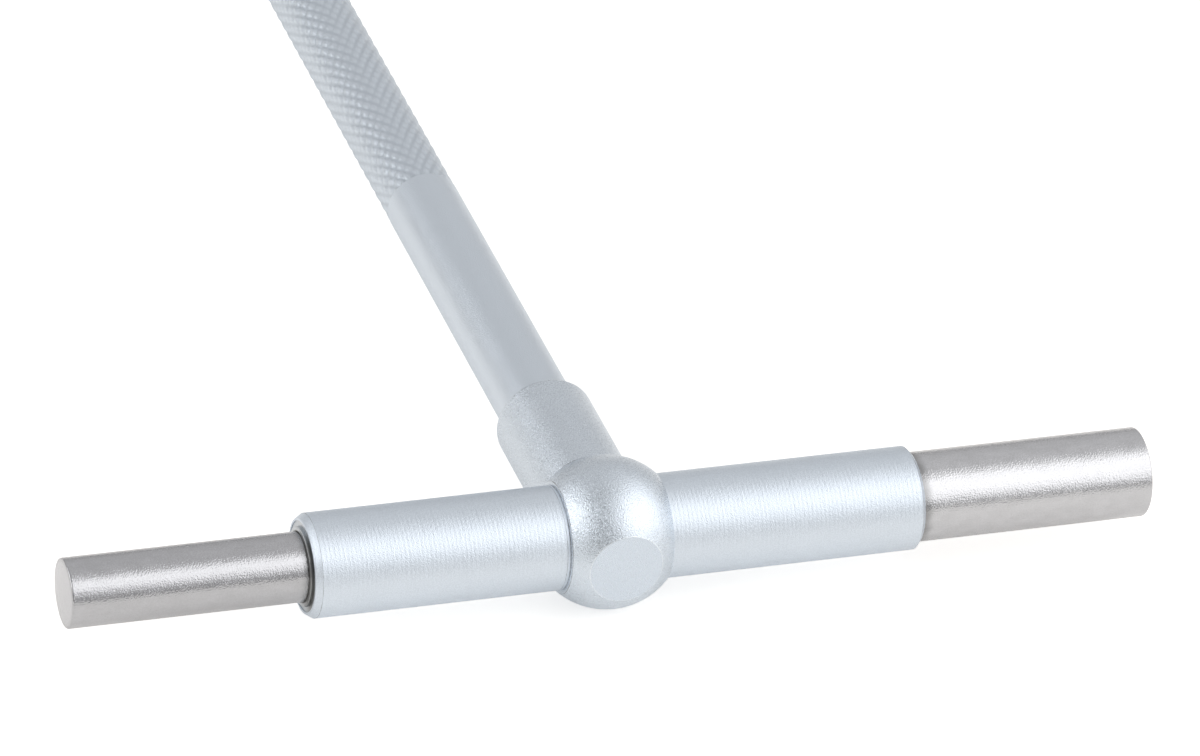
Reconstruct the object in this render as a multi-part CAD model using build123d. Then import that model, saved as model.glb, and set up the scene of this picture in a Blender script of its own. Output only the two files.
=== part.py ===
from build123d import *
import math
import os

# A telescoping gauge with two sprung plungers in a cross tube and a lock screw at the end of its handle.
# All sizes are millimetres. The origin is the middle of the flat on the front of the hub.
# X runs along the plungers towards the large one, Y runs along the handle away from the hub.

# Head tube and the flat hub that it runs through
head_tube_diameter = 8.5
head_tube_length = 51.4
head_tube_offset = 0.25
head_bevel_height = 0.35
small_end_bevel_length = 0.55
large_end_bevel_length = 0.3
hub_diameter = 12.5
hub_flat_diameter = 6.0
hub_width = 8.6
hub_edge_round = 0.12
collar_diameter = 8.27
collar_reach = 16.9
collar_end_round = 0.6
spigot_diameter = 5.0
spigot_length = 7.4

# Plungers, with how far each tip stands out of the head tube when sprung out
large_plunger_diameter = 7.36
small_plunger_diameter = 5.69
large_plunger_reach = 20.1
small_plunger_reach = 19.75
closed_tip_reach = 1.3
tip_dome_radius = 22.0
tip_edge_round = 0.15
large_tip_length = 4.0
small_tip_length = 23.8
slot_end_wall = 1.7
groove_depth = 0.5
bush_recess = 0.08
bush_boss_diameter = 6.5
bush_boss_height = 0.3
bush_boss_round = 0.1

# Spring between the plungers
spring_wire_diameter = 0.45
spring_outer_diameter = 3.7
spring_turns = 26
spring_pocket_diameter = 4.0

# Lock shoe, lock rod and lock screw
shoe_diameter = 4.0
nose_diameter = 1.8
lock_rod_diameter = 3.1
lock_thread_diameter = 4.0
lock_thread_pitch = 0.7
lock_turn = 90.0
lock_thread_length = 10.0
lock_knob_length = 13.5
lock_knob_gap = 0.6

# Handle and its diamond knurl
handle_diameter = 6.32
handle_end_reach = 105.9
knurl_start_reach = 51.0
knurl_pitch = 0.945
knurl_angle = 29.0
knurl_depth = 0.1
knurl_below_surface = 0.02
knurl_end_bevel = 0.45

# Running clearances on the radius, and gaps between end faces
plunger_clearance = 0.02
bush_clearance = 0.025
telescope_clearance = 0.03
shoe_clearance = 0.03
nose_clearance = 0.04
rod_clearance = 0.1
thread_clearance = 0.03
lock_squeeze_gap = 0.02
spring_seat_gap = 0.02
bush_end_gap = 0.3
shoe_back_gap = 0.3
lock_thread_end_gap = 0.5

# Places along the head, counted from the handle's axis
tube_left_end = head_tube_offset - head_tube_length / 2
tube_right_end = head_tube_offset + head_tube_length / 2
head_bore_radius = large_plunger_diameter / 2 + plunger_clearance
large_tip = tube_right_end + large_plunger_reach
small_tip = tube_left_end - small_plunger_reach
large_travel = large_plunger_reach - closed_tip_reach
small_travel = small_plunger_reach - closed_tip_reach
nose_room = nose_diameter / 2 + nose_clearance
large_inner_end = -(nose_room + slot_end_wall)
small_inner_end = nose_room + slot_end_wall
large_bore_radius = small_plunger_diameter / 2 + telescope_clearance
large_bore_bottom = large_tip - large_tip_length
spring_pocket_floor = small_tip + small_tip_length
bush_inner_end = large_inner_end - large_travel - bush_end_gap

# Places along the handle, counted from the head's axis
hub_flat_reach = math.sqrt(hub_diameter**2 - hub_flat_diameter**2) / 2
handle_inner_end = collar_reach - spigot_length
lock_travel = lock_thread_pitch * lock_turn / 360
groove_floor = small_plunger_diameter / 2 - groove_depth
nose_tip = groove_floor + lock_squeeze_gap + lock_travel
shoe_back = handle_inner_end - shoe_back_gap
knob_front = handle_end_reach + lock_knob_gap
knob_back = knob_front + lock_knob_length
stud_front = handle_end_reach - lock_thread_length

# The head's axis points along X, the handle's along Y, and both start where they cross
head_axis = Plane(origin=(0, hub_flat_reach, 0), x_dir=(0, 1, 0), z_dir=(1, 0, 0))
handle_axis = Plane(origin=(0, hub_flat_reach, 0), x_dir=(1, 0, 0), z_dir=(0, 1, 0))


def bar(axis, diameter, start, end):
    """Round bar along an axis, from one place on it to another."""
    length = abs(end - start)
    return axis * Pos(0, 0, (start + end) / 2) * Cylinder(diameter / 2, length)


def rims(solid, axis, reach):
    """Round edges that lie square across an axis, at one place on it."""
    flat = [edge for edge in solid.edges() if edge.geom_type == GeomType.CIRCLE]
    return ShapeList(edge for edge in flat if abs(axis.to_local_coords(edge.arc_center).Z - reach) < 1e-4)


def domed_bar(axis, diameter, start, tip):
    """Round bar whose tip is part of a large ball, with the tip's edge eased."""
    outward = math.copysign(1, tip - start)
    ball = axis * Pos(0, 0, tip - outward * tip_dome_radius) * Sphere(tip_dome_radius)
    solid = bar(axis, diameter, start, tip) & ball
    dome_rise = tip_dome_radius - math.sqrt(tip_dome_radius**2 - diameter**2 / 4)
    return fillet(rims(solid, axis, tip - outward * dome_rise), tip_edge_round)


def milled_slot(start, end, floor, top):
    """Round-ended slot for the nose of the shoe, along the head on its handle side."""
    outline = SlotOverall(end - start, 2 * nose_room)
    return extrude(handle_axis * Pos((start + end) / 2, 0, floor) * outline, top - floor)


def knurled_bar(axis, diameter, start, end, bevel_start):
    """Round bar covered in small pyramids, where two families of grooves cross at the knurl's angle.

    Points on rows across the bar are by turns a pyramid's tip and a crossing of two grooves.
    """
    starts = round(math.pi * diameter / knurl_pitch)
    row_pitch = math.pi * diameter / starts / math.tan(math.radians(knurl_angle)) / 2
    rows = max(2, round((end - start) / row_pitch))
    tip_radius = diameter / 2 - knurl_below_surface
    groove_radius = diameter / 2 - knurl_depth
    bevel_radius = diameter / 2 - knurl_end_bevel

    def point(row, step):
        radius = tip_radius if (row + step) % 2 else groove_radius
        if row == rows or (row == 0 and bevel_start):
            radius = bevel_radius
        angle = math.pi * step / starts
        reach = start + (end - start) * row / rows
        return axis.from_local_coords(Vector(radius * math.cos(angle), radius * math.sin(angle), reach))

    ring = range(2 * starts)
    grid = [[point(row, step) for step in ring] for row in range(rows + 1)]
    faces = [Face(Wire.make_polygon(grid[0])), Face(Wire.make_polygon(grid[rows]))]
    for row in range(rows):
        for step in ring:
            corners = [grid[row][step - 1], grid[row][step], grid[row + 1][step], grid[row + 1][step - 1]]
            if (row + step) % 2:
                corners = corners[1:] + corners[:1]
            faces.append(Face(Wire.make_polygon([corners[0], corners[1], corners[3]])))
            faces.append(Face(Wire.make_polygon([corners[1], corners[2], corners[3]])))
    return Solid(Shell(faces))


def make_hub():
    """Ball with flats on its front and sides, and the collar that holds the handle."""
    ball = Pos(0, hub_flat_reach, 0) * Sphere(hub_diameter / 2)
    flats = Pos(0, hub_diameter, 0) * Box(hub_width, 2 * hub_diameter, 2 * hub_diameter)
    hub = ball & flats
    sides = rims(hub, head_axis, -hub_width / 2) + rims(hub, head_axis, hub_width / 2)
    hub = fillet(sides, hub_edge_round)
    collar = bar(handle_axis, collar_diameter, 0, collar_reach)
    hub = hub + fillet(rims(collar, handle_axis, collar_reach), collar_end_round)
    head_hole = bar(head_axis, head_tube_diameter, -hub_width, hub_width)
    shoe_hole = bar(handle_axis, shoe_diameter + 2 * shoe_clearance, 0, collar_reach)
    spigot_hole = bar(handle_axis, spigot_diameter, handle_inner_end, collar_reach)
    return hub - (head_hole + shoe_hole + spigot_hole)


def make_head_tube():
    """Tube with bevelled ends and a cross hole for the lock shoe on the handle's side."""
    tube = bar(head_axis, head_tube_diameter, tube_left_end, tube_right_end)
    for end, bevel_length in ((0, small_end_bevel_length), (-1, large_end_bevel_length)):
        end_face = tube.faces().sort_by(Axis.X)[end]
        tube = chamfer(end_face.edges(), head_bevel_height, bevel_length, reference=end_face)
    bore = bar(head_axis, 2 * head_bore_radius, tube_left_end, tube_right_end)
    shoe_hole = bar(handle_axis, shoe_diameter + 2 * shoe_clearance, 0, head_tube_diameter)
    return tube - (bore + shoe_hole)


def make_guide_bush():
    """Ring pressed into the left end of the head tube, with a low boss around the small plunger."""
    face = tube_left_end + bush_recess
    boss = bar(head_axis, bush_boss_diameter, face - bush_boss_height, bush_inner_end)
    boss = fillet(rims(boss, head_axis, face - bush_boss_height), bush_boss_round)
    bush = boss + bar(head_axis, 2 * head_bore_radius, face, bush_inner_end)
    bore = bar(head_axis, small_plunger_diameter + 2 * bush_clearance, face - bush_boss_height, bush_inner_end)
    return bush - bore


def make_large_plunger():
    """Hollow plunger, bored for the small one and slotted for the nose of the lock shoe."""
    plunger = domed_bar(head_axis, large_plunger_diameter, large_inner_end, large_tip)
    bore = bar(head_axis, 2 * large_bore_radius, large_inner_end, large_bore_bottom)
    slot = milled_slot(-nose_room, large_travel + nose_room, 0, large_plunger_diameter)
    return plunger - (bore + slot)


def make_small_plunger():
    """Plunger with a pocket for the spring and a flat-bottomed groove for the nose of the lock shoe."""
    plunger = domed_bar(head_axis, small_plunger_diameter, small_inner_end, small_tip)
    pocket = bar(head_axis, spring_pocket_diameter, small_inner_end, spring_pocket_floor)
    groove = milled_slot(-small_travel - nose_room, nose_room, groove_floor, small_plunger_diameter)
    return plunger - pocket - groove


def make_plunger_spring():
    """Open coil of round wire, from the pocket's floor to the end of the large plunger's bore."""
    coil_radius = (spring_outer_diameter - spring_wire_diameter) / 2
    inset = spring_seat_gap + spring_wire_diameter / 2
    start = spring_pocket_floor + inset
    length = large_bore_bottom - inset - start
    path = head_axis * Pos(0, 0, start) * Helix(length / spring_turns, length, coil_radius)
    section = Plane(path @ 0, z_dir=path % 0) * Circle(spring_wire_diameter / 2)
    return sweep(section, path, is_frenet=True)


def make_lock_shoe():
    """Round plug, hollowed to sit on the large plunger, with a round nose that reaches the small one."""
    shoe = bar(handle_axis, shoe_diameter, 0, shoe_back)
    hollow = bar(head_axis, large_plunger_diameter, -shoe_diameter, shoe_diameter)
    shoe = shoe - Pos(0, lock_travel + lock_squeeze_gap, 0) * hollow
    return shoe + bar(handle_axis, nose_diameter, nose_tip, shoe_back)


def make_lock_rod():
    """Push rod from the back of the shoe to the lock screw's stud."""
    return bar(handle_axis, lock_rod_diameter, shoe_back, stud_front)


def make_handle():
    """Tube with a spigot for the collar, knurled to its end, bored for the rod and threaded for the screw."""
    spigot = bar(handle_axis, spigot_diameter, handle_inner_end, collar_reach)
    plain = bar(handle_axis, handle_diameter, collar_reach, knurl_start_reach)
    grip = knurled_bar(handle_axis, handle_diameter, knurl_start_reach, handle_end_reach, False)
    rod_hole = bar(handle_axis, lock_rod_diameter + 2 * rod_clearance, handle_inner_end, handle_end_reach)
    thread_front = stud_front - lock_travel - lock_thread_end_gap
    thread = bar(handle_axis, lock_thread_diameter + 2 * thread_clearance, thread_front, handle_end_reach)
    return spigot + plain + grip - (rod_hole + thread)


def make_lock_screw():
    """Knurled knob as thick as the handle, with the stud that screws into it."""
    knob = knurled_bar(handle_axis, handle_diameter, knob_front, knob_back, True)
    return knob + bar(handle_axis, lock_thread_diameter, stud_front, knob_front)


makers = {
    "hub": make_hub,
    "head_tube": make_head_tube,
    "guide_bush": make_guide_bush,
    "large_plunger": make_large_plunger,
    "small_plunger": make_small_plunger,
    "plunger_spring": make_plunger_spring,
    "lock_shoe": make_lock_shoe,
    "lock_rod": make_lock_rod,
    "handle": make_handle,
    "lock_screw": make_lock_screw,
}

os.makedirs("parts", exist_ok=True)
for node, make in makers.items():
    export_step(make(), f"parts/{node}.step")
print(f"large plunger travel {large_travel:.3f}, small plunger travel {small_travel:.3f}")
smallest_reading = head_tube_length + 2 * closed_tip_reach
print(f"lock travel {lock_travel:.4f}, reading from {smallest_reading} to {large_tip - small_tip:.2f}")
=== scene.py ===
import math

import bmesh
import bpy
from mathutils import Matrix, Vector
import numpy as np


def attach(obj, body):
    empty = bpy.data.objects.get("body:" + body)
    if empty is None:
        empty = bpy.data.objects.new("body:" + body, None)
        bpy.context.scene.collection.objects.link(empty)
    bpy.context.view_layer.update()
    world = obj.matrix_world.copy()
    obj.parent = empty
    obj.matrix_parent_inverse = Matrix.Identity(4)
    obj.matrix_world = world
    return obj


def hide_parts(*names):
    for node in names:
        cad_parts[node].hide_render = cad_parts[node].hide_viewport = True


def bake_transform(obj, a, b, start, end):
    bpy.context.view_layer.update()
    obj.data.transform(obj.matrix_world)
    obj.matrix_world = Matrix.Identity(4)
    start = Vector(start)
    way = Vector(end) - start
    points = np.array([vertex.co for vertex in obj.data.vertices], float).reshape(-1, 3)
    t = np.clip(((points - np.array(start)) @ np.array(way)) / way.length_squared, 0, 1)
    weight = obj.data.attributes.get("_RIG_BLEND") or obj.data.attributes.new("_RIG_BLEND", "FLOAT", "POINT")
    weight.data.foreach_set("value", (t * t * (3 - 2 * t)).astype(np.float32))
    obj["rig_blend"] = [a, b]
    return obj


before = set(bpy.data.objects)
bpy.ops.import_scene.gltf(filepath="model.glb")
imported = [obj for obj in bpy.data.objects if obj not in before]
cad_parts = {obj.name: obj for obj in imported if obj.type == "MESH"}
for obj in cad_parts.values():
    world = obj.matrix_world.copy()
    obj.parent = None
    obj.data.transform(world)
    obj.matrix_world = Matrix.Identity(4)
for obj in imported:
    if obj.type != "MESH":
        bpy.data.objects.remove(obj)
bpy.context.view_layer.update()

# The camera stands where the gauge was photographed from: in front, to the left and above, and a long way
# off, with a long lens. The turn about the line of sight makes the head slope up to the right.
head_axis_y = 0.0054829
azimuth, elevation, roll = (math.radians(angle) for angle in (-20.413, 32.311, 5.069))
shift_right, shift_up, distance = -0.0004703, 0.012357, 0.70908
focal_length = 264.746
scene = bpy.context.scene
scene.view_settings.view_transform = "Standard"
aim = Matrix.Rotation(azimuth, 4, "Z") @ Matrix.Rotation(math.pi / 2 - elevation, 4, "X")
aim = aim @ Matrix.Rotation(roll, 4, "Z")
stand = Vector((0, head_axis_y, 0)) + aim.to_3x3() @ Vector((shift_right, shift_up, distance))
lens = bpy.data.cameras.new("camera")
lens.sensor_width = 36
lens.lens = focal_length
lens.clip_start = 0.01
camera = bpy.data.objects.new("camera", lens)
camera.matrix_world = Matrix.Translation(stand) @ aim
scene.collection.objects.link(camera)
scene.camera = camera


# The hub is a ball with flats on its front and sides, turned in one piece with the collar that holds the
# handle. It is steel, blasted with fine beads and then chromed, so the chrome is satin with a fine grain.
class Signal:
    """One changing value in a finish. A sum written with it adds its Math nodes to the finish."""

    def __init__(self, nodes, socket):
        self.nodes = nodes
        self.socket = socket

    def math(self, operation, *values):
        return self.nodes.add("ShaderNodeMath", {"operation": operation}, dict(enumerate(values)))

    def __add__(self, other):
        return self.math("ADD", self, other)

    def __sub__(self, other):
        return self.math("SUBTRACT", self, other)

    def __mul__(self, other):
        return self.math("MULTIPLY", self, other)

    def __radd__(self, other):
        return self.math("ADD", other, self)

    def __rsub__(self, other):
        return self.math("SUBTRACT", other, self)

    def __rmul__(self, other):
        return self.math("MULTIPLY", other, self)

    def __pow__(self, other):
        return self.math("POWER", self, other)

    def __abs__(self):
        return self.math("ABSOLUTE", self)

    def sine(self):
        return self.math("SINE", self)

    def root(self):
        return self.math("SQRT", self)

    def at_least(self, floor):
        return self.math("MAXIMUM", self, floor)

    def between(self, low, high):
        """0 below low, 1 above high, and a soft step from one to the other."""
        settings = {"interpolation_type": "SMOOTHSTEP"}
        inputs = {"Value": self, "From Min": low, "From Max": high}
        return self.nodes.add("ShaderNodeMapRange", settings, inputs)


class Nodes:
    """The nodes of a material or of the room, all of them added by one method."""

    def __init__(self, owner):
        owner.use_nodes = True
        self.tree = owner.node_tree

    def add(self, kind, settings=None, inputs=None, output=0):
        made = self.tree.nodes.new(kind)
        for name, value in (settings or {}).items():
            setattr(made, name, value)
        for name, value in (inputs or {}).items():
            if isinstance(value, Signal):
                self.tree.links.new(value.socket, made.inputs[name])
            else:
                made.inputs[name].default_value = value
        return Signal(self, made.outputs[output])

    def split(self, vector):
        """The x, y and z of a vector."""
        made = self.add("ShaderNodeSeparateXYZ", inputs={0: vector}).socket.node
        return [Signal(self, socket) for socket in made.outputs]

    def toward(self, vector, direction):
        """How far a vector reaches in one direction."""
        inputs = {0: vector, 1: direction}
        return self.add("ShaderNodeVectorMath", {"operation": "DOT_PRODUCT"}, inputs, output="Value")

    def feed(self, node, socket, signal):
        self.tree.links.new(signal.socket, self.tree.nodes[node].inputs[socket])


class Finish(Nodes):
    """A metal material, whose patterns are sized in millimetres along the gauge's own axes."""

    def __init__(self, name, colour, roughness):
        self.material = bpy.data.materials.new(name)
        super().__init__(self.material)
        metal = self.tree.nodes["Principled BSDF"]
        metal.inputs["Metallic"].default_value = 1.0
        metal.inputs["Base Color"].default_value = (*colour, 1)
        metal.inputs["Roughness"].default_value = roughness
        place = self.add("ShaderNodeTexCoord", output="Object")
        self.place = self.add("ShaderNodeVectorMath", {"operation": "SCALE"}, {0: place, "Scale": 1000})
        self.x, self.y, self.z = self.split(self.place)

    def stretched(self, x, y, z):
        """The place with each axis scaled, so that a pattern read there is drawn out along the small ones."""
        return self.add("ShaderNodeVectorMath", {"operation": "MULTIPLY"}, {0: self.place, 1: (x, y, z)})

    def noise(self, size, detail=2.0, place=None):
        """Cloudy value from 0 to 1, with spots of about that size in millimetres."""
        inputs = {"Vector": place or self.place, "Scale": 1 / size, "Detail": detail, "Roughness": 0.5}
        return self.add("ShaderNodeTexNoise", inputs=inputs)

    def colour(self, amount, low, high):
        """Goes from one colour to the other as the amount goes from 0 to 1."""
        return self.mixed(amount, (*low, 1), (*high, 1))

    def mixed(self, amount, low, high):
        """The same for colours with an alpha and for colours that change over the surface."""
        return self.add("ShaderNodeMix", {"data_type": "RGBA"}, {0: amount, 6: low, 7: high}, output=2)

    def give(self, socket, signal):
        self.feed("Principled BSDF", socket, signal)

    def emboss(self, height, depth):
        """Raises the surface by the height times the depth in millimetres."""
        inputs = {"Strength": 1.0, "Distance": depth / 1000, "Height": height}
        self.give("Normal", self.add("ShaderNodeBump", inputs=inputs))

    def coat(self, piece):
        piece.data.materials.clear()
        piece.data.materials.append(self.material)


chrome = (0.735, 0.795, 0.865)
ground_chrome = (0.69, 0.755, 0.835, 1)
rim_painted_highlight = (0.9, 0.95, 1.0, 1)
seam_dirt_and_shade = (0.24, 0.24, 0.25, 1)
bead_size, ripple_size, cloud_size = 0.095, 0.35, 3.0
tool_feed = 0.36
ground_edge, highlight_rim_width = 0.02, 0.06


def satin_chrome(
    name, seams=(), turned=0.0, ground_below=-99.0, grain=0.045, speckle=0.045, roughness=0.265, mottle=0.34
):
    """Chrome over beads as deep as the grain, whose colour varies by the speckle and roughness by the mottle.

    Turned is the height of the tool's lines against the beads. Below ground_below the chrome is ground flat,
    with a painted highlight along its edge. The seams, flat cuts given by direction, distance and width, are
    darkened: partly dirt in the joints, partly painted shade where surfaces meet.
    """
    finish = Finish(name, chrome, roughness)
    beads = finish.noise(bead_size, detail=1.0)
    height = beads + 0.2 * finish.noise(ripple_size, detail=1.0)
    if turned:
        rows = (finish.x * (2 * math.pi / tool_feed) + 0.5 * finish.noise(2.0)).sine()
        height = height + turned * rows * finish.noise(0.8)
    beaded = finish.y.between(ground_below, ground_below + ground_edge)
    height = height * beaded
    cloud = finish.noise(cloud_size, detail=3.0)
    dark, light = ([part + change for part in chrome] for change in (-speckle, speckle))
    shade = finish.colour((0.15 * cloud + 0.85 * beads).between(0.28, 0.72), dark, light)
    shade = finish.mixed(beaded, ground_chrome, shade)
    # Painted highlight along the edge of the ground flat.
    highlight_rim = beaded * (1 - finish.y.between(ground_below + highlight_rim_width - 0.01, ground_below + highlight_rim_width))
    shade = finish.mixed(highlight_rim * 0.6, shade, rim_painted_highlight)
    # The seams are darkened: partly dirt in the joints, partly painted shade where surfaces meet.
    for direction, seam_place, width in seams:
        wander = width * (0.3 * finish.noise(0.25) + 0.6 * finish.noise(1.0))
        off = abs(finish.toward(finish.place, direction) - seam_place) + wander
        clear_of_darkening = off.between(0.45 * width, 0.95 * width)
        shade = finish.mixed(clear_of_darkening, seam_dirt_and_shade, shade)
        height = height + 0.5 * clear_of_darkening
    finish.emboss(height, grain)
    finish.give("Base Color", shade)
    finish.give("Roughness", roughness - 0.5 * mottle + 0.06 * cloud + mottle * beads)
    finish.shade = shade
    return finish


def close_poles(piece):
    """Closes the slivers that a ball's mesh has at its poles."""
    weld = piece.modifiers.new("closed_poles", "WELD")
    weld.mode, weld.merge_threshold = "CONNECTED", 2e-6


along_head, along_handle = (1, 0, 0), (0, 1, 0)
hub_half_width, collar_root = 4.3, 10.36
# The seam at the collar's root is painted shade where the collar meets the ball.
hub_seams = [(along_head, 0.05 - hub_half_width, 0.05), (along_handle, collar_root, 0.13)]
satin_chrome("hub_chrome", hub_seams, ground_below=0.0).coat(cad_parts["hub"])
close_poles(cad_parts["hub"])

# The head tube runs through the hub and is pressed into it. It is turned and bevelled at both ends, and
# chromed like the hub. Fine dark lines show where it goes into the hub and where the bevels start: partly
# dirt, partly painted shade.
left_bevel_start, right_bevel_start = -24.9, 25.65
tube_seams = [
    (along_head, -hub_half_width - 0.03, 0.08),
    (along_head, -hub_half_width - 0.27, 0.05),
    (along_head, hub_half_width + 0.03, 0.05),
    (along_head, left_bevel_start, 0.04),
    (along_head, right_bevel_start, 0.04),
]
tube_chrome = satin_chrome("tube_chrome", tube_seams, turned=0.16, grain=0.026, speckle=0.05, roughness=0.39)
tube_chrome.coat(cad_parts["head_tube"])

# The guide bush is a steel ring pressed into the left end of the head tube, where it guides the small
# plunger. It is turned and its face keeps the rings of the tool. Its face carries painted shade and a painted
# reflection of the plunger: it is darker next to the plunger and on its front and lower side.
bush_colour, bush_painted_shade = (0.60, 0.63, 0.66), (0.13, 0.125, 0.11)
plunger_gap, rings_end, ring_width = 2.86, 3.8, 0.24
bush_steel = Finish("bush_steel", bush_colour, 0.34)
up_the_face = bush_steel.y - 1000 * head_axis_y
from_axis = (bush_steel.z**2 + up_the_face**2).root()
rings = (from_axis * (2 * math.pi / ring_width)).sine()
bush_steel.emboss(rings * (rings_end - from_axis) + bush_steel.noise(0.15), 0.007)
# Painted shade and a painted reflection of the plunger: darker next to the plunger and on the front and lower
# side.
edge = from_axis + 0.12 * bush_steel.noise(0.3)
clear_of_darkening = edge.between(plunger_gap + 0.05, plunger_gap + 0.22)
lower_side = 0.5 * (0 - bush_steel.z).at_least(0)
unshaded_side = (up_the_face + lower_side + 0.5 * bush_steel.noise(0.8)).between(-1.6, 0.8)
bush_steel.give("Base Color", bush_steel.colour(clear_of_darkening * (0.3 + 0.7 * unshaded_side), bush_painted_shade, bush_colour))
bush_steel.coat(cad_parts["guide_bush"])

# Both plungers are hardened steel, ground to a fit and left bare, so they are brighter and warmer than
# the chrome. The grinding leaves fine marks along them, and handling has dulled them in patches.
# Where the plungers leave the tube, their colour is darkened towards this painted shade.
plunger_painted_shade = (0.13, 0.13, 0.125, 1)
streak_size, speck_size, patch_size = 0.12, 0.13, 0.9
tip_brightness = 1.12


def ground_steel(name, tip_edge, tube_end, dull, bright):
    """Steel with painted shade where it leaves the tube, and brighter on the dome of its tip."""
    finish = Finish(name, bright, 0.19)
    streaks = finish.noise(streak_size, place=finish.stretched(0.06, 1.0, 1.0))
    specks = finish.noise(speck_size, detail=1.0)
    patches = finish.noise(patch_size, detail=3.0, place=finish.stretched(0.6, 1.0, 1.0))
    finish.emboss(0.35 * streaks + 0.9 * specks + 0.5 * patches, 0.021)
    tone = finish.colour((0.45 * patches + 0.15 * streaks + 0.4 * specks).between(0.25, 0.75), dull, bright)
    reach = abs(finish.x)
    # Painted shade and a painted reflection of the dark bush where the plunger leaves the tube.
    clear_of_darkening = (reach + 0.5 * patches).between(tube_end + 0.25, tube_end + 1.2)
    tone = finish.mixed(0.45 + 0.55 * clear_of_darkening, plunger_painted_shade, tone)
    tip = reach.between(tip_edge, tip_edge + 0.05)
    finish.give("Base Color", finish.mixed(tip, tone, (*(tip_brightness * part for part in bright), 1)))
    finish.give("Roughness", 0.13 + 0.10 * patches + 0.06 * specks)
    return finish


large_steel = ground_steel(
    "large_plunger_steel", tip_edge=45.75, tube_end=25.95,
    dull=(0.56, 0.56, 0.575), bright=(0.66, 0.66, 0.68),
)
small_steel = ground_steel(
    "small_plunger_steel", tip_edge=45.02, tube_end=25.45,
    dull=(0.485, 0.485, 0.50), bright=(0.57, 0.57, 0.59),
)
for piece, finish in (("large_plunger", large_steel), ("small_plunger", small_steel)):
    finish.coat(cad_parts[piece])
    close_poles(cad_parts[piece])
    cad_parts[piece].modifiers.new("even_tip", "WEIGHTED_NORMAL")

# The spring between the plungers is drawn steel wire, coiled open and ground flat at both ends. Its middle
# stays in the head, and each half is shortened by the plunger that it pushes.
wire_steel = Finish("wire_steel", (0.45, 0.45, 0.46), 0.3)
wire_steel.give("Roughness", 0.22 + 0.2 * wire_steel.noise(0.15))
wire_steel.emboss(wire_steel.noise(0.08), 0.003)
spring_left, spring_middle, spring_right = -21.4, 10.0, 42.05
wire_diameter, coil_radius, spring_pitch = 0.45, 1.625, 2.44
wire_sides, steps_in_a_turn = 10, 24


def coil(start, end):
    """Wire coiled round the head's axis from one place to the other."""
    bm = bmesh.new()
    bmesh.ops.create_circle(bm, segments=wire_sides, radius=wire_diameter / 2)
    upright = Matrix.Rotation(math.pi / 2, 4, "X")
    bmesh.ops.transform(bm, verts=bm.verts, matrix=Matrix.Translation((coil_radius, 0, 0)) @ upright)
    turns = (end - start - wire_diameter) / spring_pitch
    steps = round(turns * steps_in_a_turn)
    rise = (end - start - wire_diameter) / steps
    bmesh.ops.spin(
        bm, geom=bm.verts[:] + bm.edges[:], axis=(0, 0, 1), cent=(0, 0, 0), dvec=(0, 0, rise),
        angle=turns * 2 * math.pi, steps=steps, use_merge=False, use_duplicate=False,
    )
    bmesh.ops.holes_fill(bm, edges=bm.edges, sides=0)
    along = Matrix.Rotation(math.pi / 2, 4, "Y")
    along = Matrix.Translation((start + wire_diameter / 2, 1000 * head_axis_y, 0)) @ along
    bmesh.ops.transform(bm, verts=bm.verts, matrix=Matrix.Scale(0.001, 4) @ along)
    return bm


def finished(name, bm, finish):
    """Turns the mesh into a piece, smooth but for the edges that turn by more than 30 degrees."""
    bmesh.ops.recalc_face_normals(bm, faces=bm.faces)
    mesh = bpy.data.meshes.new(name)
    bm.to_mesh(mesh)
    bm.free()
    mesh.shade_smooth()
    mesh.set_sharp_from_angle(angle=math.radians(30))
    piece = bpy.data.objects.new(name, mesh)
    scene.collection.objects.link(piece)
    finish.coat(piece)
    return piece


left_coils = finished("spring_left_coils", coil(spring_left, spring_middle), wire_steel)
right_coils = finished("spring_right_coils", coil(spring_middle, spring_right), wire_steel)
middle = (spring_middle / 1000, head_axis_y, 0)
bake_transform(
    left_coils, "small_plunger", "head_and_handle", start=(spring_left / 1000, head_axis_y, 0), end=middle
)
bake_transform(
    right_coils, "head_and_handle", "large_plunger", start=middle, end=(spring_right / 1000, head_axis_y, 0)
)
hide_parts("plunger_spring")

# The lock shoe is a turned brass plug in the hub. Its hollow face sits on the large plunger, and its nose
# reaches through the slot into the small one.
shoe_feed = 0.2
shoe_brass = Finish("shoe_brass", (0.76, 0.60, 0.32), 0.3)
shoe_brass.emboss((shoe_brass.y * (2 * math.pi / shoe_feed)).sine() + shoe_brass.noise(0.2), 0.004)
shoe_brass.give("Roughness", 0.22 + 0.16 * shoe_brass.noise(0.8))
shoe_brass.coat(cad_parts["lock_shoe"])

# The lock rod is bright drawn steel, cut to length, and runs through the handle from the lock screw to
# the shoe. Drawing leaves fine scratches along it.
rod_steel = Finish("rod_steel", (0.56, 0.56, 0.57), 0.25)
drawn = rod_steel.noise(0.1, detail=3.0, place=rod_steel.stretched(1.0, 0.05, 1.0))
rod_steel.emboss(drawn, 0.006)
rod_steel.give("Roughness", 0.18 + 0.16 * drawn)
rod_steel.coat(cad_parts["lock_rod"])

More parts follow.
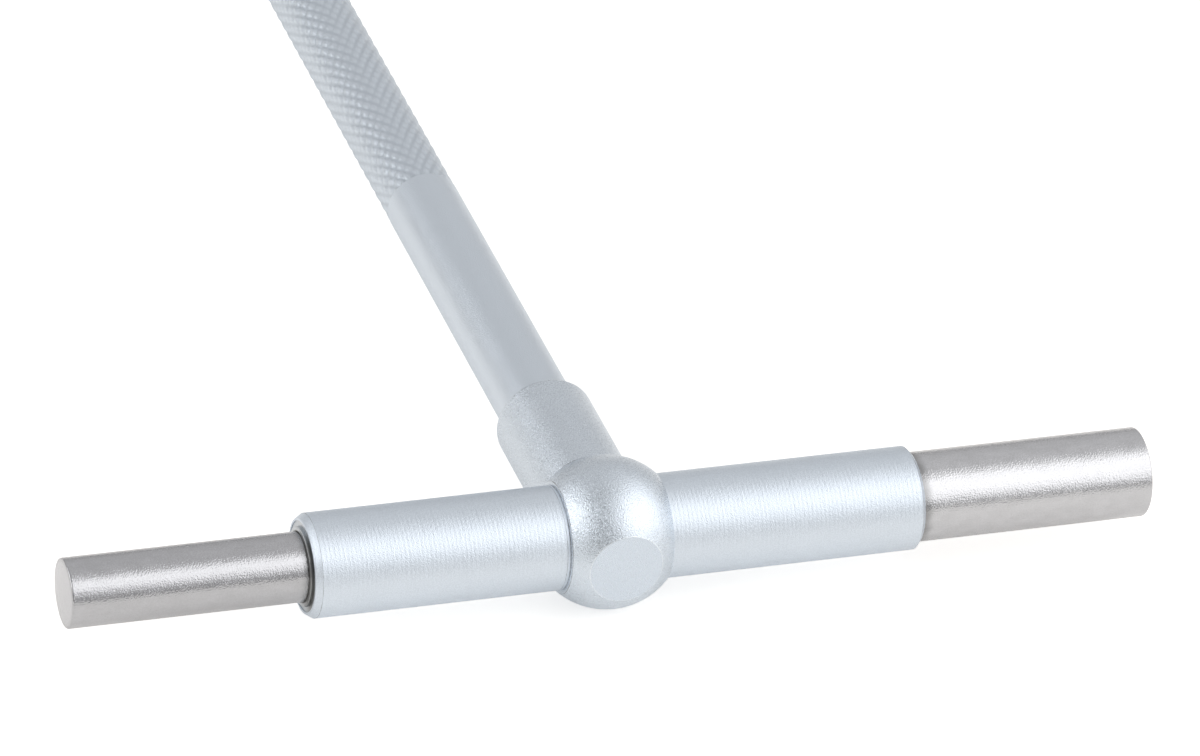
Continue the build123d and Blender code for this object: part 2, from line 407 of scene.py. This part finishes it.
# The handle is a turned tube, chromed like the hub. Two knurling wheels rolled crossing grooves into it,
# from a clean line two fifths of the way up to its end, and they leave small flat-topped diamonds.
handle_radius, handle_end = 3.16, 105.9
collar_reach = 16.9
spigot_radius, spigot_start = 2.5, 9.5
rod_hole_radius = 1.65
thread_hole_radius, thread_hole_start = 2.03, 95.225
edge_ease, spigot_bevel, mouth_bevel, end_bevel = 0.05, 0.2, 0.25, 0.45
knurl_start, knurl_angle = 51.0, math.radians(29)
groove_starts, steps_each = 21, 6
around = groove_starts * steps_each
groove_rise = math.pi * 2 * handle_radius / groove_starts / math.tan(knurl_angle)
tip_depth, groove_depth = 0.02, 0.09
groove_painted_shade = (0.45, 0.50, 0.56, 1)
up_the_handle = Matrix.Translation((0, 1000 * head_axis_y, 0)) @ Matrix.Rotation(-math.pi / 2, 4, "X")
up_the_handle = Matrix.Scale(0.001, 4) @ up_the_handle


def groove(phase):
    """1 along the bottom of a groove and 0 half way to the next one."""
    return (0.5 + 0.5 * math.cos(2 * math.pi * phase)) ** 2


def knurl(bm, start, end, first_row, last_row):
    """Rolls a flat grid into a tube of diamonds. The first and last rows are (radius, length) of the edge.

    The groove layer keeps painted shade for the grooves, heavier in one of the two sets on each side.
    """
    rows = round((end - start - first_row[1] - last_row[1]) / (groove_rise / steps_each)) + 2
    made = bmesh.ops.create_grid(bm, x_segments=around, y_segments=rows, size=0.5)["verts"]
    cells = list({face for vert in made for face in vert.link_faces})
    made += bmesh.ops.poke(bm, faces=cells)["verts"]
    groove_layer = bm.verts.layers.float["groove"]
    row_length = (end - start - first_row[1] - last_row[1]) / (rows - 2)
    for vert in made:
        across = (vert.co.x + 0.5) * around
        row = (vert.co.y + 0.5) * rows
        first, second = groove((across + row) / steps_each), groove((across - row) / steps_each)
        depth = 1 - (1 - first) * (1 - second)
        angle = 2 * math.pi * across / around
        # The side of the handle sets which set of grooves gets more painted shade.
        right_side = min(max((math.cos(angle) + 0.3) / 0.4, 0), 1)
        first_shade, second_shade = (1 - 0.8 * right_side) * first, (0.4 + 0.6 * right_side) * second
        vert[groove_layer] = 1 - (1 - first_shade) * (1 - second_shade)
        radius = handle_radius - tip_depth - (groove_depth - tip_depth) * depth
        if row < 1:
            radius += (first_row[0] - radius) * (1 - row)
            reach = start + first_row[1] * row
        elif row > rows - 1:
            radius += (last_row[0] - radius) * (row - rows + 1)
            reach = end - last_row[1] * (rows - row)
        else:
            reach = start + first_row[1] + row_length * (row - 1)
        vert.co = (radius * math.cos(angle), radius * math.sin(angle), reach)


def turned(bm, outline):
    """Spins an outline of (radius, reach) points round the handle's axis."""
    corners = [bm.verts.new((radius, 0, reach)) for radius, reach in outline]
    edges = [bm.edges.new(pair) for pair in zip(corners, corners[1:])]
    bmesh.ops.spin(
        bm, geom=corners + edges, axis=(0, 0, 1), cent=(0, 0, 0), dvec=(0, 0, 0),
        angle=2 * math.pi, steps=around, use_merge=True, use_duplicate=False,
    )


bevelled_end = (handle_radius - end_bevel, 0.4)
handle = bmesh.new()
handle.verts.layers.float.new("groove")
turned(handle, [
    (handle_radius - end_bevel, handle_end),
    (thread_hole_radius + mouth_bevel, handle_end),
    (thread_hole_radius, handle_end - mouth_bevel),
    (thread_hole_radius, thread_hole_start),
    (rod_hole_radius, thread_hole_start),
    (rod_hole_radius, spigot_start),
    (spigot_radius - spigot_bevel, spigot_start),
    (spigot_radius, spigot_start + spigot_bevel),
    (spigot_radius, collar_reach),
    (handle_radius - edge_ease, collar_reach),
    (handle_radius, collar_reach + edge_ease),
    (handle_radius, knurl_start - edge_ease),
    (handle_radius, knurl_start),
])
knurl(handle, knurl_start, handle_end, (handle_radius, 0.1), bevelled_end)
bmesh.ops.remove_doubles(handle, verts=handle.verts, dist=0.001)
bmesh.ops.transform(handle, verts=handle.verts, matrix=up_the_handle)
handle_chrome = satin_chrome("handle_chrome", grain=0.03, speckle=0.0, roughness=0.33, mottle=0.12)
# Painted shade in the grooves of the knurl, heavier in one set of grooves on each side of the handle.
in_groove = handle_chrome.add("ShaderNodeAttribute", {"attribute_name": "groove"}, output="Fac")
shaded_grooves = handle_chrome.mixed(in_groove.between(0.1, 1.0) * 0.4, handle_chrome.shade, groove_painted_shade)
handle_chrome.give("Base Color", shaded_grooves)
handle_tube = finished("handle_tube", handle, handle_chrome)
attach(handle_tube, "head_and_handle")
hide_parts("handle")

# The lock screw is turned in one piece: a knob with the handle's knurl, a short neck, and a stud with a
# cut M4 thread that goes into the handle's end. It is chromed with the handle.
stud_front, neck_front, knob_front, knob_back = 95.9, 105.4, 106.5, 120.0
thread_radius, root_radius, thread_pitch = 2.0, 1.57, 0.7
thread_turns, thread_steps = 16, 32
neck_radius, dish_radius, dish_depth = 1.5, 1.9, 0.12

screw = bmesh.new()
screw.verts.layers.float.new("groove")
profile = [
    (root_radius, 0),
    (thread_radius, 0.27),
    (thread_radius, 0.36),
    (root_radius, 0.63),
    (root_radius, thread_pitch),
]
corners = [screw.verts.new((radius, 0, stud_front - thread_pitch + rise)) for radius, rise in profile]
edges = [screw.edges.new(pair) for pair in zip(corners, corners[1:])]
bmesh.ops.spin(
    screw, geom=corners + edges, axis=(0, 0, 1), cent=(0, 0, 0), dvec=(0, 0, thread_pitch / thread_steps),
    angle=thread_turns * 2 * math.pi, steps=thread_turns * thread_steps, use_merge=False, use_duplicate=False,
)
bmesh.ops.remove_doubles(screw, verts=screw.verts, dist=0.0005)
for height, side in ((stud_front, -1), (neck_front, 1)):
    thread = screw.verts[:] + screw.edges[:] + screw.faces[:]
    bmesh.ops.bisect_plane(
        screw, geom=thread, plane_co=(0, 0, height), plane_no=(0, 0, side), clear_outer=True
    )
foot = [edge for edge in screw.edges if edge.is_boundary and abs(edge.verts[0].co.z - stud_front) < 0.001]
bmesh.ops.holes_fill(screw, edges=foot, sides=0)
turned(screw, [
    (handle_radius - end_bevel, knob_back),
    (dish_radius, knob_back),
    (dish_radius - 0.2, knob_back - dish_depth),
    (0.4, knob_back - dish_depth),
])
turned(screw, [
    (neck_radius, neck_front + 0.15),
    (neck_radius, knob_front - 0.1),
    (neck_radius + 0.1, knob_front),
    (handle_radius - end_bevel, knob_front),
])
knurl(screw, knob_front, knob_back, bevelled_end, bevelled_end)
bmesh.ops.remove_doubles(screw, verts=screw.verts, dist=0.0005)
dish = [edge for edge in screw.edges if edge.is_boundary and edge.verts[0].co.z > knob_back - 0.2]
bmesh.ops.holes_fill(screw, edges=dish, sides=0)
bmesh.ops.bridge_loops(screw, edges=[edge for edge in screw.edges if edge.is_boundary])
bmesh.ops.transform(screw, verts=screw.verts, matrix=up_the_handle)
lock_knob = finished("lock_knob", screw, handle_chrome)
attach(lock_knob, "lock_screw")
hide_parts("lock_screw")

# The gauge lies on a white table under two large soft lamps, one on each side of the camera, in a plain
# pale room. The table is the floor of the photograph and shows pure white, with the gauge's shadow on it.
floor_height, table_half_width = -0.00625, 6
bm = bmesh.new()
bmesh.ops.create_grid(bm, x_segments=1, y_segments=1, size=table_half_width)
bmesh.ops.translate(bm, verts=bm.verts, vec=(0, 0, floor_height))
mesh = bpy.data.meshes.new("table")
bm.to_mesh(mesh)
bm.free()
table = bpy.data.objects.new("table", mesh)
scene.collection.objects.link(table)
table_white = bpy.data.materials.new("table_white")
mesh.materials.append(table_white)
paper = Nodes(table_white)
sheet = paper.tree.nodes["Principled BSDF"]
sheet.inputs["Base Color"].default_value = (0.87, 0.85, 0.82, 1)
sheet.inputs["Roughness"].default_value = 0.9
sheet.inputs["Specular IOR Level"].default_value = 0.0
eye = paper.add("ShaderNodeLightPath", output="Is Camera Ray")
mirrored = paper.add("ShaderNodeLightPath", output="Is Glossy Ray")
glow = paper.add("ShaderNodeEmission", inputs={"Strength": eye * 0.55 + mirrored * 0.18})
lit = paper.add("ShaderNodeAddShader", inputs={0: Signal(paper, sheet.outputs[0]), 1: glow})
paper.feed("Material Output", "Surface", lit)


def softbox(name, bearing, height, width, tall, glow):
    """Soft lamp two metres off, turned to the gauge. The bearing counts from the camera to the right."""
    lamp = bpy.data.lights.new(name, "AREA")
    lamp.shape = "RECTANGLE"
    lamp.size, lamp.size_y = width, tall
    lamp.energy = glow * width * tall * math.pi
    turn = Matrix.Rotation(azimuth + math.radians(bearing), 4, "Z")
    turn = turn @ Matrix.Rotation(math.pi / 2 - math.radians(height), 4, "X")
    box = bpy.data.objects.new(name, lamp)
    box.matrix_world = turn @ Matrix.Translation((0, 0, 2.0))
    scene.collection.objects.link(box)


softbox("softbox_right", bearing=76.5, height=38.6, width=2.8, tall=2.4, glow=1.04)
softbox("softbox_left", bearing=-72, height=32, width=2.65, tall=0.9, glow=1.88)
world = bpy.data.worlds.new("room")
scene.world = world
room = Nodes(world)
seen_way = room.add("ShaderNodeTexCoord", output="Generated")
to_right = room.toward(seen_way, Vector((math.cos(azimuth), math.sin(azimuth), 0)))
to_front = room.toward(seen_way, Vector((math.sin(azimuth), -math.cos(azimuth), 0)))
upward = room.split(seen_way)[2]
side_walls = 0.20 * to_right.at_least(0) + 0.05 * (0 - to_right).at_least(0)
end_walls = 0.12 * to_front.at_least(0) + 0.23 * (0 - to_front).at_least(0)
dim_skirting = 0.5 + 0.5 * upward.between(0.0, 0.22)
dim_gap = 0.3 + 0.7 * (abs(to_right + 0.1) + 0.6 * (0.5 - to_front).at_least(0)).between(0.04, 0.34)
dim_corner = 0.2 * (0 - to_right).between(-0.1, 0.3) * upward.between(0.65, 0.95)
walls = (0.26 + side_walls + end_walls) * dim_skirting
brightness = (walls + 0.35 * upward.at_least(0) - dim_corner) * dim_gap
eye = room.add("ShaderNodeLightPath", output="Is Camera Ray")
room.tree.nodes["Background"].inputs["Color"].default_value = (1, 1, 1, 1)
room.feed("Background", "Strength", eye * 1.05 + (1 - eye) * brightness)
